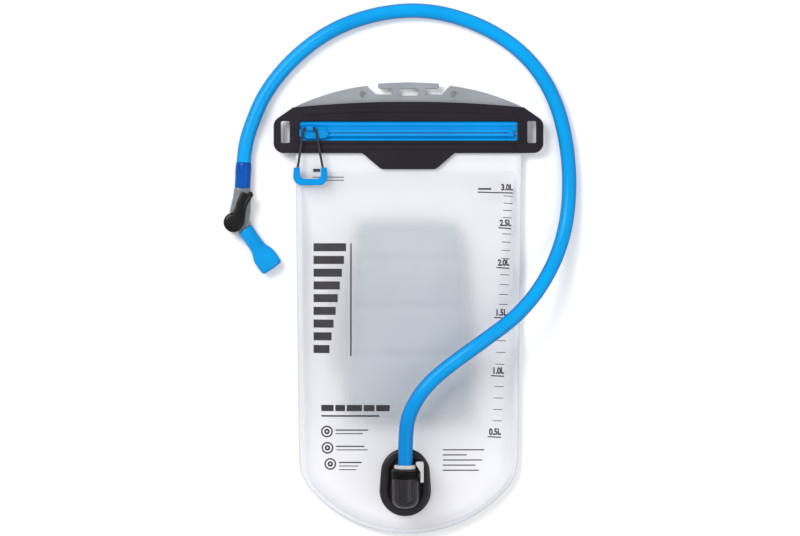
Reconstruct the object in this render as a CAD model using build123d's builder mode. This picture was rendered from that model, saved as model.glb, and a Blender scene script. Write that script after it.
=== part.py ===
from build123d import *
from math import pi, sqrt, tan, radians
import os

# Hydration bladder lying on its back: +X right, +Y towards the hanger, +Z up. Millimetres.

os.makedirs("parts", exist_ok=True)

# ---- sizes -----------------------------------------------------------------
# bag
bag_half_width = 101.5
bag_top_flare = 4.0          # how much wider each side is at the frame
bag_top = 186.0
bag_end_centre = -88.0       # centre of the round bottom end
bag_end_bulge = 19.5         # how much larger the round end's radius is than the half width
bag_corner_radius = 58.0
film = 0.5
seam_height = 8.0
bag_height = 34.0            # top of the front film
water_top = 124.0            # where the two films part below the frame

# frame and hanger
frame_margin = 1.5
frame_low = 143.8
frame_shoulder = 186.0
frame_crown = 191.3
frame_thickness = 4.0
loop_reach = 18.0
loop_round = 9.0
slot_width = 8.2
slot_height = 20.5
slot_wall = 6.7
tab_low = 128.8
tab_half_top = 42.8
tab_half_low = 25.3
hanger_thickness = 3.0
hanger_top = 209.6
hanger_hole_radius = 2.85
hanger_hole_spread = 84.2
hanger_hole_height = 198.4

# zip
window_margin = 6.0
window_low = 155.1
window_high = 173.2
closing_line = 162.2
tape_thickness = 0.8
lip_gap = 0.3
track_neck = 1.45
track_head = 3.05
neck_height = 2.0
head_height = 1.5
left_stop_length = 2.0
right_stop_length = 5.0
right_stop_margin = 4.0
slider_length = 24.5
slider_width = 11.0
slider_roof = 1.8
slider_gap = 0.35

# zip pull
cord_radius = 1.1
eye_gap = 0.3
eye_length = 6.0
pull_drop = 36.0
grip_width = 33.0
grip_height = 16.5
grip_wall = 6.0
grip_thickness = 5.0
grip_round = 8.0

# port
port_base_thickness = 3.3
port_base_radius = 23.7
port_top_radius = 22.5
port_base_low = -190.6
port_base_high = -128.2
port_x = -3.0
socket_wall = 4.3
socket_mouth = -146.5
socket_end = -182.0
socket_round = 9.0
plinth_inset = 1.0
socket_bore = 8.2
running_gap = 0.08
seat_front = -166.0
seat_back = -167.5
seat_radius = 3.5
chamber_radius = 5.5
chamber_end = -178.0
water_hole = 3.0
water_hole_y = -174.6

# hose connector and hose
hose_radius = 6.7
hose_bore = 4.6
collar_lip = 2.1
collar_flat_margin = 2.5
collar_clearance = 0.4
collar_length = 3.6
plug_nose = -165.0
barb_length = 11.0
connector_bore = 1.7
poppet_stem = 2.0
poppet_clearance = 0.5
poppet_gap = 0.3
seal_gap = 2.5
ring_section = 0.9

# release clip
clip_gap = 1.1
clip_thickness = 3.0
clip_height = 8.0
clip_low = -158.0
clip_pivot = -151.5
clip_pin_radius = 0.8
hook_length = 2.5
hook_gap = 0.4
lug_gap = 0.3
lug_thickness = 1.8

# cuff, valve and bite valve
valve_z = 7.6
cuff_wall = 0.6
cuff_length = 23.2
housing_radius = 7.4
housing_bore = 3.0
housing_low = 0.6
housing_high = 14.6
barb_clearance = 0.1
barb_reach = 12.0
valve_pivot = Vector(-162.0, 79.4, valve_z)
chamber_wall = 3.2
rotor_radius = 6.0
rotor_low = 3.4
rotor_high = 12.0
stem_radius = 3.0
port_radius = 2.5
lever_low = 15.2
lever_thickness = 3.4
lever_disc_radius = 9.1
lever_square = 4.2
bite_start = Vector(-151.9, 73.5, valve_z)
bite_way = Vector(0.575, -0.818, 0).normalized()
bite_length = 45.0
bite_stem_radius = 7.1
bite_stem_length = 20.0
bite_mouth_width = 22.0
bite_mouth_height = 12.8

# sizes that follow from those above
bag_end_radius = bag_half_width + bag_end_bulge
frame_half_width = bag_half_width + bag_top_flare + frame_margin
window_half = frame_half_width - window_margin
track_start = left_stop_length - window_half
track_end = window_half - right_stop_margin - right_stop_length
socket_radius = socket_bore + socket_wall
collar_radius = socket_bore + collar_lip
collar_flat = hose_radius + collar_flat_margin
port_z = bag_height + port_base_thickness + collar_radius + collar_clearance
poppet_head = chamber_radius - poppet_clearance
cuff_radius = hose_radius + cuff_wall
barb_radius = hose_bore - barb_clearance

# hose route, from the plug to the cuff
hose_points = [
    (port_x, socket_mouth + 0.3 + collar_length, port_z),
    (port_x, -121.0, port_z),
    (-1.0, -97.5, 52.5),
    (12.1, -74.2, 54.8),
    (31.3, -55.6, 55.4),
    (67.2, -29.9, 54.7),
    (99.2, -6.8, 46.0),
    (122.6, 20.3, 31.0),
    (140.7, 55.1, 16.0),
    (149.6, 96.4, 8.6),
    (148.5, 147.1, 7.0),
    (136.2, 196.3, 6.9),
    (110.2, 234.8, 6.9),
    (71.2, 261.8, 7.0),
    (22.7, 277.0, 6.9),
    (-23.4, 275.3, 6.9),
    (-68.6, 260.7, 7.0),
    (-105.3, 234.4, 6.9),
    (-132.9, 201.3, 6.9),
    (-146.6, 168.8, 7.1),
    (-152.2, 148.0, valve_z),
    (-152.9, 134.0, valve_z),
]


def save_solid(part, name):
    """Label one finished piece, write it and print its volume."""
    part.label = name
    export_step(part, f"parts/{name}.step")
    print(f"{name:20s} {part.volume:10.1f} mm3")


# ---- bag -------------------------------------------------------------------
def bag_outline(height, side, top, end, corner):
    """Outline of the bag at one height, drawn in from its edge by side and end."""
    half = bag_half_width - side
    radius = bag_end_radius - end
    corner_y = bag_end_centre - sqrt(radius**2 - half**2)
    flare = bag_top_flare * (top - corner_y) / (bag_top - corner_y)
    with BuildSketch(Plane.XY.offset(height)) as outline:
        with BuildLine():
            Polyline(
                (-half, corner_y),
                (-half - flare, top),
                (half + flare, top),
                (half, corner_y),
            )
            ThreePointArc((-half, corner_y), (0, bag_end_centre - radius), (half, corner_y))
        make_face()
        fillet(outline.vertices().group_by(Axis.Y)[0], corner)
    return outline.sketch


front_steps = [
    (0.00, 5.0, 0.0, 4.0, 55.0),
    (0.38, 9.0, 26.0, 6.5, 51.0),
    (0.73, 17.0, 54.0, 9.5, 44.0),
    (0.94, 30.0, 82.0, 12.0, 34.0),
    (1.00, 40.0, 104.0, 14.0, 26.0),
]
back_steps = [
    (0.00, 5.0, 0.0, 4.0, 55.0),
    (0.50, 8.0, 8.0, 6.0, 51.0),
    (0.88, 14.0, 18.0, 10.0, 44.0),
    (1.00, 24.0, 30.0, 16.0, 34.0),
]


def bulge(steps, seam, far, inward, mode, ruled=False):
    """Loft one film's bulge from the seam to its far height, drawn in by inward."""
    sections = [
        bag_outline(
            seam + share * (far - seam),
            side + inward,
            water_top - top - inward,
            end + inward,
            corner - inward,
        )
        for share, side, top, end, corner in steps
    ]
    loft(sections, ruled=ruled, mode=mode)


with BuildPart() as front_panel:
    extrude(bag_outline(seam_height, 0, bag_top, 0, bag_corner_radius), amount=film)
    bulge(front_steps, seam_height, bag_height, 0, Mode.ADD)
    bulge(front_steps, seam_height, bag_height - film, film * 1.2, Mode.SUBTRACT)
    with BuildSketch(Plane.XY.offset(seam_height)):
        with Locations((0, (window_low + window_high) / 2)):
            Rectangle(2 * window_half, window_high - window_low)
    extrude(amount=film, mode=Mode.SUBTRACT)
    with BuildSketch(Plane.XY.offset(bag_height)):
        with Locations((port_x, water_hole_y)):
            Circle(water_hole)
    extrude(amount=-2 * film, mode=Mode.SUBTRACT)
save_solid(front_panel.part, "front_panel")

with BuildPart() as back_panel:
    extrude(bag_outline(seam_height, 0, bag_top, 0, bag_corner_radius), amount=-film)
    bulge(back_steps, seam_height, 0, 0, Mode.ADD, ruled=True)
    bulge(back_steps, seam_height, film, film * 1.2, Mode.SUBTRACT, ruled=True)
save_solid(back_panel.part, "back_panel")

# inner sheet held off the back film by three cross webs
sheet_height = 17.0
sheet_half_top = 57.0
sheet_margin = 32.0
sheet_top = 88.0
sheet_low = -112.0
web_rows = [44.0, 0.5, -44.0]
web_half = 45.0
sheet_half_low = bag_half_width - sheet_margin

with BuildPart() as baffle_panel:
    with BuildSketch(Plane.XY.offset(sheet_height)) as sheet:
        with BuildLine():
            Polyline(
                (-sheet_half_low, sheet_low),
                (-sheet_half_top, sheet_top),
                (sheet_half_top, sheet_top),
                (sheet_half_low, sheet_low),
                close=True,
            )
        make_face()
        fillet(sheet.vertices(), 12)
    extrude(amount=film)
    with BuildSketch(Plane.XY.offset(film)):
        for row in web_rows:
            with Locations((0, row)):
                Rectangle(2 * web_half, film)
    extrude(amount=sheet_height - film)
save_solid(baffle_panel.part, "baffle_panel")

# ---- frame and hanger ------------------------------------------------------
frame_floor = seam_height + film
tape_low = window_low - 4.5
tape_high = window_high + 4.5
tape_half = window_half + 2.5
loop_half = frame_half_width + loop_reach
slot_x = loop_half - slot_wall - slot_width / 2
slot_y = frame_low + 19.4

with BuildPart() as zip_frame:
    with BuildSketch(Plane.XY.offset(frame_floor)) as frame_face:
        with BuildLine():
            ThreePointArc(
                (-frame_half_width, frame_shoulder),
                (0, frame_crown),
                (frame_half_width, frame_shoulder),
            )
            edge = Polyline(
                (frame_half_width, frame_shoulder),
                (loop_half, slot_y + slot_height / 2),
                (loop_half, frame_low),
                (tab_half_top, frame_low),
                (tab_half_low, tab_low),
                (0, tab_low),
            )
            mirror(edge, about=Plane.YZ)
        make_face()
        fillet(frame_face.vertices().filter_by(lambda v: abs(v.Y - tab_low) < 0.1 and abs(v.X) > 1), 7)
        fillet(frame_face.vertices().filter_by(lambda v: abs(v.X) > loop_half - 1), loop_round)
    extrude(amount=frame_thickness)
    fillet(zip_frame.faces().sort_by(Axis.Z)[-1].edges(), 1.0)
    with BuildSketch(Plane.XY.offset(frame_floor)):
        with Locations((0, (window_low + window_high) / 2)):
            RectangleRounded(2 * window_half, window_high - window_low, 2)
        with Locations((-slot_x, slot_y), (slot_x, slot_y)):
            RectangleRounded(slot_width, slot_height, 1.5)
    extrude(amount=frame_thickness, mode=Mode.SUBTRACT)
    with BuildSketch(Plane.XY.offset(frame_floor)):
        with Locations((0, (tape_low + tape_high) / 2)):
            Rectangle(2 * tape_half, tape_high - tape_low)
    extrude(amount=tape_thickness, mode=Mode.SUBTRACT)
save_solid(zip_frame.part, "zip_frame")

hanger_floor = seam_height - film - hanger_thickness
bar_half = 28.3
bar_low = hanger_top - 6.0
slot_floor = 197.2
post_out = 15.7
notch_half = 31.0
shoulder_x = 38.5
shoulder_y = 206.4
bar_slot_half = 9.6
hanger_half = frame_half_width - 2.0
hanger_end_high = frame_shoulder + 1.0
hanger_low = bag_top - 8.0

with BuildPart() as hanger:
    with BuildSketch(Plane.XY.offset(hanger_floor)) as hanger_face:
        with BuildLine():
            side = Polyline(
                (0, hanger_top),
                (bar_half, hanger_top - 1.2),
                (bar_half, bar_low),
                (post_out, bar_low),
                (post_out, slot_floor + 1.0),
                (notch_half, slot_floor + 1.0),
                (shoulder_x, shoulder_y),
            )
            slope = ThreePointArc(
                (shoulder_x, shoulder_y),
                ((shoulder_x + hanger_half) / 2 + 2.5, 198.8),
                (hanger_half, hanger_end_high),
            )
            foot = Polyline((hanger_half, hanger_end_high), (hanger_half, hanger_low), (0, hanger_low))
            mirror(side, about=Plane.YZ)
            mirror(slope, about=Plane.YZ)
            mirror(foot, about=Plane.YZ)
        make_face()
        fillet(hanger_face.vertices().filter_by(lambda v: abs(v.Y - bar_low) < 0.1 and abs(v.X) > 20), 2)
        with Locations((0, (slot_floor + bar_low) / 2)):
            SlotOverall(2 * bar_slot_half, bar_low - slot_floor, mode=Mode.SUBTRACT)
        with Locations((0, hanger_hole_height)):
            with GridLocations(hanger_hole_spread, 1, 2, 1):
                Circle(hanger_hole_radius, mode=Mode.SUBTRACT)
    extrude(amount=hanger_thickness)
    chamfer(hanger.faces().sort_by(Axis.Z)[-1].edges(), 0.4)
save_solid(hanger.part, "hanger")

# ---- zip -------------------------------------------------------------------
tape_floor = frame_floor
track_floor = tape_floor + tape_thickness
head_floor = track_floor + neck_height
track_top = head_floor + head_height


def half_tape(direction):
    """One tape from the closing line out to its edge under the frame."""
    near = closing_line + direction * lip_gap / 2
    far = tape_high if direction > 0 else tape_low
    with BuildSketch(Plane.XY.offset(tape_floor)) as tape:
        with Locations((0, (near + far) / 2)):
            Rectangle(2 * tape_half, abs(far - near))
    extrude(tape.sketch, amount=tape_thickness)


def half_track(direction):
    """One closing rail: a neck with a wider head, seen end on."""
    near = closing_line + direction * lip_gap / 2
    neck = near + direction * track_neck
    head = near + direction * track_head
    with BuildSketch(Plane(origin=(track_start, 0, 0), x_dir=(0, 1, 0), z_dir=(1, 0, 0))) as rail:
        with BuildLine():
            Polyline(
                (near, track_floor),
                (neck, track_floor),
                (neck, head_floor),
                (head, head_floor),
                (head, track_top),
                (near, track_top),
                close=True,
            )
        make_face()
    extrude(rail.sketch, amount=track_end - track_start)


with BuildPart() as upper_tape:
    half_tape(1)
save_solid(upper_tape.part, "upper_tape")

with BuildPart() as lower_tape:
    half_tape(-1)
save_solid(lower_tape.part, "lower_tape")

with BuildPart() as upper_track:
    half_track(1)
save_solid(upper_track.part, "upper_track")

with BuildPart() as lower_track:
    half_track(-1)
save_solid(lower_track.part, "lower_track")

stop_width = 2 * (track_head + lip_gap)

with BuildPart() as left_stop:
    with BuildSketch(Plane.XY.offset(track_floor)):
        with Locations((track_start - left_stop_length / 2, closing_line)):
            Rectangle(left_stop_length, stop_width)
    extrude(amount=track_top - track_floor + 0.6)
    chamfer(left_stop.faces().sort_by(Axis.Z)[-1].edges(), 0.4)
save_solid(left_stop.part, "left_stop")

with BuildPart() as right_stop:
    with BuildSketch(Plane.XY.offset(track_floor)):
        with Locations((track_end + right_stop_length / 2, closing_line)):
            RectangleRounded(right_stop_length, stop_width, 1)
    extrude(amount=track_top - track_floor + 0.6)
    chamfer(right_stop.faces().sort_by(Axis.Z)[-1].edges(), 0.4)
save_solid(right_stop.part, "right_stop")

slider_x = track_start + 0.5 + slider_length / 2
slider_floor = track_floor + slider_gap
slider_top = track_top + slider_gap + slider_roof
eye_x = slider_x - 5.2
eye_y = closing_line + 4.0
eye_radius = cord_radius + eye_gap
eye_z = slider_top + eye_radius + 0.5
eye_wall = 1.1
eye_block = 2 * (eye_radius + eye_wall)
eye_plane = Plane(origin=(eye_x - eye_length / 2, eye_y, eye_z), x_dir=(0, 1, 0), z_dir=(1, 0, 0))
channel_plane = Plane(origin=(slider_x - slider_length, closing_line, 0), x_dir=(0, 1, 0), z_dir=(1, 0, 0))

with BuildPart() as slider_body:
    with BuildSketch(Plane.XY.offset(slider_floor)):
        with Locations((slider_x, closing_line)):
            SlotOverall(slider_length, slider_width)
    extrude(amount=slider_top - slider_floor)
    fillet(slider_body.faces().sort_by(Axis.Z)[-1].edges(), 1.2)
    with BuildSketch(Plane.XY.offset(slider_top - 1.5)):
        with Locations((eye_x, eye_y)):
            Rectangle(eye_length, eye_block)
    extrude(amount=1.5 + eye_z - slider_top)
    with BuildSketch(eye_plane):
        Circle(eye_block / 2)
    extrude(amount=eye_length)
    with BuildSketch(eye_plane):
        Circle(eye_radius)
    extrude(amount=eye_length, mode=Mode.SUBTRACT)
    with BuildSketch(channel_plane):
        channel = head_height + 2 * slider_gap
        with Locations((0, head_floor + head_height / 2)):
            Rectangle(2 * track_head + lip_gap + 2 * slider_gap, channel)
        with Locations((0, (slider_floor + head_floor) / 2)):
            Rectangle(2 * track_neck + lip_gap + 2 * slider_gap, head_floor - slider_floor)
    extrude(amount=2 * slider_length, mode=Mode.SUBTRACT)
save_solid(slider_body.part, "slider_body")

# zip pull: a cord through the slider's eye and a grip on its two legs
grip_top_y = eye_y - pull_drop
grip_x = eye_x + 0.7
leg_spread = grip_width / 2 - grip_wall / 2 - 0.9
cord_half_top = eye_length / 2 + 2.6
leg_sink = 7.0

with BuildPart() as pull_cord:
    with BuildLine():
        cord_path = FilletPolyline(
            (grip_x - leg_spread, grip_top_y - leg_sink, eye_z),
            (eye_x - cord_half_top, eye_y, eye_z),
            (eye_x + cord_half_top, eye_y, eye_z),
            (grip_x + leg_spread, grip_top_y - leg_sink, eye_z),
            radius=1.8,
        )
    with BuildSketch(Plane(origin=cord_path @ 0, z_dir=cord_path % 0)):
        Circle(cord_radius)
    sweep()
save_solid(pull_cord.part, "pull_cord")

with BuildPart() as pull_grip:
    with BuildSketch(Plane.XY.offset(eye_z - grip_thickness / 2)) as grip_face:
        with Locations((grip_x, grip_top_y - grip_height / 2)):
            Trapezoid(grip_width, grip_height, 86)
        fillet(grip_face.vertices().group_by(Axis.Y)[0], grip_round)
        fillet(grip_face.vertices().group_by(Axis.Y)[-1], 1.5)
        with Locations((grip_x, grip_top_y - (grip_height - grip_wall) / 2 + 1)):
            Rectangle(
                grip_width - 2 * grip_wall - 1.6, grip_height - grip_wall + 2, mode=Mode.SUBTRACT
            )
        grip_floor_y = grip_top_y - grip_height + grip_wall
        fillet(grip_face.vertices().filter_by(lambda v: abs(v.Y - grip_floor_y) < 0.3), 4)
    extrude(amount=grip_thickness)
    fillet(pull_grip.faces().filter_by(Axis.Z).edges(), 0.9)
    add(pull_cord.part, mode=Mode.SUBTRACT)
save_solid(pull_grip.part, "pull_grip")

# ---- port ------------------------------------------------------------------
base_top = bag_height + port_base_thickness


def port_plane(y):
    """Plane across the port's axis at y, facing the bag's round end."""
    return Plane(origin=(port_x, y, port_z), x_dir=(1, 0, 0), z_dir=(0, -1, 0))


def port_ring(y, length, outer, inner=0, mode=Mode.ADD):
    """A disc or ring round the port's axis, from y towards the bag's round end."""
    with BuildSketch(port_plane(y)) as ring:
        Circle(outer)
        if inner:
            Circle(inner, mode=Mode.SUBTRACT)
    extrude(ring.sketch, amount=length, mode=mode)


def turned(points):
    """Turn a profile of (y, radius) pairs about the port's axis."""
    plane = Plane(origin=(port_x, 0, port_z), x_dir=(0, 1, 0), z_dir=(0, 0, 1))
    with BuildSketch(plane) as profile:
        with BuildLine():
            Polyline(*points, close=True)
        make_face()
    revolve(profile.sketch, axis=Axis((port_x, 0, port_z), (0, 1, 0)))


with BuildPart() as port_base:
    with BuildSketch(Plane.XY.offset(bag_height)):
        with Locations((port_x, port_base_low + port_base_radius)):
            Circle(port_base_radius)
        with Locations((port_x, port_base_high - port_top_radius)):
            Circle(port_top_radius)
        make_hull()
    extrude(amount=port_base_thickness)
    fillet(port_base.faces().sort_by(Axis.Z)[-1].edges(), 1.6)
    with BuildSketch(Plane.XY.offset(bag_height)):
        with Locations((port_x, water_hole_y)):
            Circle(water_hole)
    extrude(amount=port_base_thickness, mode=Mode.SUBTRACT)
save_solid(port_base.part, "port_base")

clip_x = port_x + socket_radius + clip_gap + clip_thickness / 2

with BuildPart() as port_socket:
    port_ring(socket_mouth, socket_mouth - socket_end, socket_radius)
    fillet(port_socket.edges().filter_by(GeomType.CIRCLE).sort_by(Axis.Y)[0], socket_round)
    with BuildSketch(Plane.XY.offset(base_top)):
        with Locations((port_x, (socket_mouth + socket_end) / 2 + plinth_inset)):
            RectangleRounded(
                2 * socket_radius - 2 * plinth_inset,
                socket_mouth - socket_end - 2 * plinth_inset,
                socket_round,
            )
    extrude(amount=port_z - base_top)
    split(bisect_by=port_plane(socket_mouth), keep=Keep.TOP)
    split(bisect_by=Plane.XY.offset(base_top), keep=Keep.TOP)
    for start, stop, radius in (
        (socket_mouth, seat_front, socket_bore),
        (seat_front, seat_back, seat_radius),
        (seat_back, chamber_end, chamber_radius),
    ):
        port_ring(start, start - stop, radius, mode=Mode.SUBTRACT)
    with BuildSketch(Plane.XY.offset(base_top)):
        with Locations((port_x, water_hole_y)):
            Circle(water_hole)
    extrude(amount=port_z - base_top, mode=Mode.SUBTRACT)
    for side in (-1, 1):
        lug_near = port_z + side * (clip_height / 2 + lug_gap)
        with BuildSketch(Plane.XY.offset(lug_near)):
            with Locations((clip_x - 3, clip_pivot)):
                Rectangle(6 + clip_thickness, 5)
            with Locations((clip_x, clip_pivot)):
                Circle(clip_pin_radius, mode=Mode.SUBTRACT)
        extrude(amount=side * lug_thickness)
    port_ring(socket_mouth, socket_mouth - seat_front, socket_bore, mode=Mode.SUBTRACT)
save_solid(port_socket.part, "port_socket")

# connector: collar, plug with two ring grooves, and a barb in the hose
barb_root = socket_mouth + 0.3 + collar_length
plug_radius = socket_bore - running_gap
ring_ys = [socket_mouth - 6.0, socket_mouth - 10.5]

with BuildPart() as hose_connector:
    turned(
        [
            (plug_nose, 0),
            (plug_nose, plug_radius - 0.8),
            (plug_nose + 0.8, plug_radius),
            (barb_root - collar_length, plug_radius),
            (barb_root - collar_length, collar_radius),
            (barb_root, collar_radius),
            (barb_root, hose_bore - 0.5),
            (barb_root + barb_length / 3, hose_bore - 0.05),
            (barb_root + barb_length / 3, hose_bore - 0.5),
            (barb_root + barb_length * 2 / 3, hose_bore - 0.05),
            (barb_root + barb_length * 2 / 3, hose_bore - 0.5),
            (barb_root + barb_length, hose_bore - 1.2),
            (barb_root + barb_length, 0),
        ]
    )
    fillet(hose_connector.edges().filter_by(GeomType.CIRCLE).filter_by(
        lambda e: abs(e.radius - collar_radius) < 0.01), 0.9)
    port_ring(
        barb_root + barb_length,
        barb_root + barb_length - plug_nose,
        connector_bore,
        mode=Mode.SUBTRACT,
    )
    for ring_y in ring_ys:
        port_ring(
            ring_y + ring_section + 0.2,
            2 * ring_section + 0.4,
            plug_radius + 1,
            socket_bore - 2 * ring_section - 0.06,
            mode=Mode.SUBTRACT,
        )
    with BuildSketch(port_plane(barb_root)):
        with Locations((collar_flat + collar_radius / 2, 0)):
            Rectangle(collar_radius, 2 * collar_radius)
    extrude(amount=collar_length, mode=Mode.SUBTRACT)
save_solid(hose_connector.part, "hose_connector")

with BuildPart() as connector_orings:
    for ring_y in ring_ys:
        with Locations(Location((port_x, ring_y, port_z), (90, 0, 0))):
            Torus(socket_bore - 0.03 - ring_section, ring_section)
save_solid(connector_orings.part, "connector_orings")

# poppet: held open by the plug, with its seal ring and spring behind the seat
seal_thickness = 1.0
seal_face = seat_back - seal_gap
head_face = seal_face - seal_thickness
head_back = head_face - 1.6

with BuildPart() as poppet:
    turned(
        [
            (plug_nose - poppet_gap, 0),
            (plug_nose - poppet_gap, poppet_stem),
            (head_face, poppet_stem),
            (head_face, poppet_head),
            (head_back, poppet_head),
            (head_back, 0),
        ]
    )
save_solid(poppet.part, "poppet")

with BuildPart() as poppet_seal:
    port_ring(seal_face, seal_thickness, poppet_head - 0.3, poppet_stem)
save_solid(poppet_seal.part, "poppet_seal")

spring_wire = 0.4
spring_coil = chamber_radius - 1.6
spring_length = head_back - chamber_end - 2 * spring_wire - 0.1

with BuildPart() as poppet_spring:
    with BuildLine():
        coil = Helix(
            pitch=spring_length / 2.5,
            height=spring_length,
            radius=spring_coil,
            center=(port_x, head_back - spring_wire - 0.05, port_z),
            direction=(0, -1, 0),
        )
    with BuildSketch(Plane(origin=coil @ 0, z_dir=coil % 0)):
        Circle(spring_wire)
    sweep(is_frenet=True)
save_solid(poppet_spring.part, "poppet_spring")

with BuildPart() as clip_pin:
    with BuildSketch(Plane.XY.offset(port_z - clip_height / 2 - lug_gap - lug_thickness)):
        with Locations((clip_x, clip_pivot)):
            Circle(clip_pin_radius)
    extrude(amount=clip_height + 2 * (lug_gap + lug_thickness))
save_solid(clip_pin.part, "clip_pin")

with BuildPart() as release_clip:
    with BuildSketch(Plane.XY.offset(port_z - clip_height / 2)) as clip_face:
        hook_y = barb_root + hook_gap
        clip_out = clip_x + clip_thickness / 2
        clip_in = clip_x - clip_thickness / 2
        hook_in = port_x + collar_flat + hook_gap
        with BuildLine():
            Polyline(
                (clip_in, clip_low),
                (clip_out, clip_low),
                (clip_out, hook_y + hook_length),
                (hook_in, hook_y + hook_length),
                (hook_in, hook_y),
                (clip_in, hook_y),
                close=True,
            )
        make_face()
        fillet(clip_face.vertices().filter_by(lambda v: v.X > clip_out - 0.1), 1.0)
        with Locations((clip_x, clip_pivot)):
            Circle(clip_pin_radius + 0.05, mode=Mode.SUBTRACT)
    extrude(amount=clip_height)
save_solid(release_clip.part, "release_clip")

# ---- hose ------------------------------------------------------------------
def corner_radii(points):
    """Arc radius at each corner: tangent length 0.45 of the shorter run beside it."""
    radii = []
    for before, here, after in zip(points, points[1:], points[2:]):
        run_in = Vector(*here) - Vector(*before)
        run_out = Vector(*after) - Vector(*here)
        half_turn = radians(run_in.get_angle(run_out)) / 2
        radii.append(0.45 * min(run_in.length, run_out.length) / tan(half_turn))
    return radii


hose_radii = corner_radii(hose_points)
print("hose corner radii", [round(r, 1) for r in hose_radii])

with BuildPart() as hose:
    with BuildLine():
        hose_path = FilletPolyline(*hose_points, radius=hose_radii)
    with BuildSketch(Plane(origin=hose_path @ 0, z_dir=hose_path % 0)):
        Circle(hose_radius)
        Circle(hose_bore, mode=Mode.SUBTRACT)
    sweep()
hose_length = hose_path.length
hose_section = pi * (hose_radius**2 - hose_bore**2)
print("hose length", round(hose_length, 1), "volume ratio", hose.part.volume / hose_length / hose_section)
save_solid(hose.part, "hose")

# ---- cuff and on/off valve -------------------------------------------------
hose_end = Vector(*hose_points[-1])
cuff_way = (hose_end - Vector(*hose_points[-2])).normalized()
cuff_end = hose_end + cuff_way * cuff_length


def rod(start, way, length, radius, mode=Mode.ADD):
    """A straight round bar or bore from start along way."""
    with BuildSketch(Plane(origin=start, z_dir=way)) as end:
        Circle(radius)
    extrude(end.sketch, amount=length, mode=mode)


with BuildPart() as hose_cuff:
    rod(hose_end, cuff_way, cuff_length, cuff_radius)
    fillet(hose_cuff.edges().filter_by(GeomType.CIRCLE).sort_by(Axis.Y)[-1], 0.8)
    rod(hose_end, cuff_way, cuff_length, hose_bore, Mode.SUBTRACT)
save_solid(hose_cuff.part, "hose_cuff")

inlet_run = 18.0
inlet_turn = cuff_end + cuff_way * inlet_run
spigot_length = 9.0
spigot_radius = housing_radius - 0.4
bore_lap = 2.5
inlet_way = valve_pivot - inlet_turn
outlet_way = valve_pivot - bite_start
chamber_radius_valve = rotor_radius + 0.05

with BuildPart() as valve_housing:
    with BuildSketch(Plane.XY.offset(housing_low)) as housing_face:
        with BuildLine():
            Polyline(
                (cuff_end.X - housing_radius, cuff_end.Y - 1.0),
                (cuff_end.X + housing_radius, cuff_end.Y - 1.0),
                (valve_pivot.X + 16.4, valve_pivot.Y - 0.4),
                (bite_start.X + 2.3, bite_start.Y - 0.9),
                (bite_start.X - 6.1, bite_start.Y + 0.5),
                (valve_pivot.X - 2.5, valve_pivot.Y + 8.6),
                close=True,
            )
        make_face()
        fillet(housing_face.vertices(), 1.5)
        with Locations((valve_pivot.X, valve_pivot.Y)):
            Circle(rotor_radius + chamber_wall)
    extrude(amount=housing_high - housing_low)
    chamfer(valve_housing.faces().sort_by(Axis.Z)[-1].edges(), 0.8)
    split(bisect_by=Plane(origin=bite_start, z_dir=bite_way), keep=Keep.BOTTOM)
    rod(cuff_end, cuff_way, inlet_run + 8.0, spigot_radius)
    rod(bite_start - bite_way * spigot_length, bite_way, spigot_length, spigot_radius)
    rod(cuff_end, cuff_way * -1, barb_reach, barb_radius)
    rod(bite_start, bite_way, barb_reach, barb_radius)
    rod(cuff_end - cuff_way * barb_reach, cuff_way, barb_reach + inlet_run, housing_bore, Mode.SUBTRACT)
    rod(inlet_turn - inlet_way.normalized() * 1.5, inlet_way, inlet_way.length, housing_bore, Mode.SUBTRACT)
    rod(bite_start - bite_way * bore_lap, bite_way, barb_reach + bore_lap, housing_bore, Mode.SUBTRACT)
    rod(bite_start, outlet_way, outlet_way.length, housing_bore, Mode.SUBTRACT)
    with BuildSketch(Plane.XY.offset(housing_low)):
        with Locations((valve_pivot.X, valve_pivot.Y)):
            Circle(chamber_radius_valve)
    extrude(amount=rotor_high - housing_low + 0.1, mode=Mode.SUBTRACT)
    with BuildSketch(Plane.XY.offset(housing_low)):
        with Locations((valve_pivot.X, valve_pivot.Y)):
            Circle(stem_radius + 0.05)
    extrude(amount=housing_high - housing_low, mode=Mode.SUBTRACT)
save_solid(valve_housing.part, "valve_housing")

rotor_ring = 0.5
square_gap = 0.05
lever_floor = 1.1            # lever left over the top of the square
ring_levels = [(rotor_low + 1.1, rotor_radius), ((rotor_high + housing_high) / 2, stem_radius)]

with BuildPart() as valve_rotor:
    for low, high, radius in ((rotor_low, rotor_high, rotor_radius), (rotor_high, lever_low, stem_radius)):
        with BuildSketch(Plane.XY.offset(low)):
            with Locations((valve_pivot.X, valve_pivot.Y)):
                Circle(radius)
        extrude(amount=high - low)
    with BuildSketch(Plane.XY.offset(lever_low)):
        with Locations((valve_pivot.X, valve_pivot.Y)):
            Rectangle(lever_square, lever_square)
    extrude(amount=lever_thickness - lever_floor - 0.1)
    rod(valve_pivot, inlet_way * -1, rotor_radius + 1, port_radius, Mode.SUBTRACT)
    rod(valve_pivot, outlet_way * -1, rotor_radius + 1, port_radius, Mode.SUBTRACT)
    for level, radius in ring_levels:
        with BuildSketch(Plane.XY.offset(level)):
            with Locations((valve_pivot.X, valve_pivot.Y)):
                Circle(radius + 1)
                Circle(radius - 2 * rotor_ring, mode=Mode.SUBTRACT)
        extrude(amount=rotor_ring + 0.05, both=True, mode=Mode.SUBTRACT)
save_solid(valve_rotor.part, "valve_rotor")

with BuildPart() as rotor_orings:
    for level, radius in ring_levels:
        with Locations((valve_pivot.X, valve_pivot.Y, level)):
            Torus(radius - rotor_ring + 0.02, rotor_ring)
save_solid(rotor_orings.part, "rotor_orings")

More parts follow.
